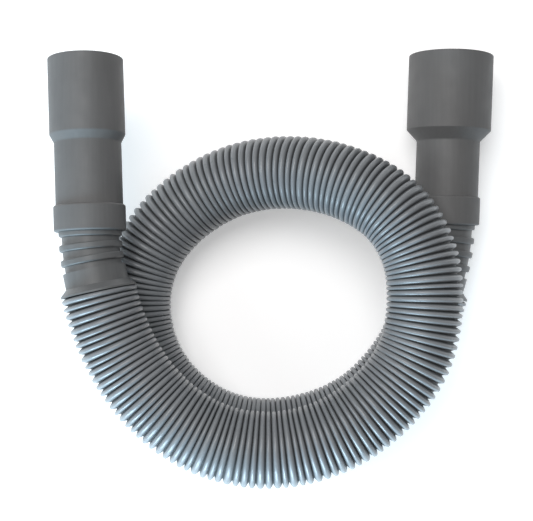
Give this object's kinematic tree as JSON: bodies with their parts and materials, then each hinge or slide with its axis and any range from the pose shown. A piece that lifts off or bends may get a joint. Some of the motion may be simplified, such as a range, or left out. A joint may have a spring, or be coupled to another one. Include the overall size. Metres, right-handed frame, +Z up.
{
  "type": "waste hose with push-on cuffs",
  "caption": "Corrugated waste hose lying in one and a half turns, with a push-on rubber socket on a ribbed tail at each end, one for 40 mm and one for 50 mm pipe.",
  "frame": {"origin": "on the ground, at the middle of the box round the two fittings (tails and cuffs, without the hose)", "axes": "+Y out of both sockets, +X from the 40 mm fitting to the 50 mm fitting, +Z up from the ground"},
  "size_m": [0.3097, 0.2998, 0.103],
  "materials": {
    "hose_plastic": "grey flexible plastic, half gloss, rounded corrugations",
    "tail_rubber": "grey moulded rubber, matte",
    "cuff_rubber": "grey moulded rubber, matte",
    "seal_rubber": "black rubber, matte"
  },
  "bodies": {
    "hose_run": {"hose": "hose_plastic", "left_hose_tail": "tail_rubber", "right_hose_tail": "tail_rubber"},
    "left_seal": {"left_seal_ring": "seal_rubber"},
    "left_cuff": {"left_cuff": "cuff_rubber"},
    "right_seal": {"right_seal_ring": "seal_rubber"},
    "right_cuff": {"right_cuff": "cuff_rubber"}
  },
  "joints": [
    {"name": "left_cuff_push", "type": "slide", "parent": "hose_run", "child": "left_seal", "axis": [-0.0349, 0.9988, -0.0349], "range_m": [0, 0.02]},
    {"name": "left_cuff_swivel", "type": "hinge", "parent": "left_seal", "child": "left_cuff", "pos_m": [-0.12586, -0.03221, 0.07438], "axis": [-0.0349, 0.9988, -0.0349], "continuous": true},
    {"name": "right_cuff_push", "type": "slide", "parent": "hose_run", "child": "right_seal", "axis": [0.0297, 0.9991, 0.0305], "range_m": [0, 0.01]},
    {"name": "right_cuff_swivel", "type": "hinge", "parent": "right_seal", "child": "right_cuff", "pos_m": [0.12172, -0.02571, 0.02796], "axis": [0.0297, 0.9991, 0.0305], "continuous": true}
  ]
}
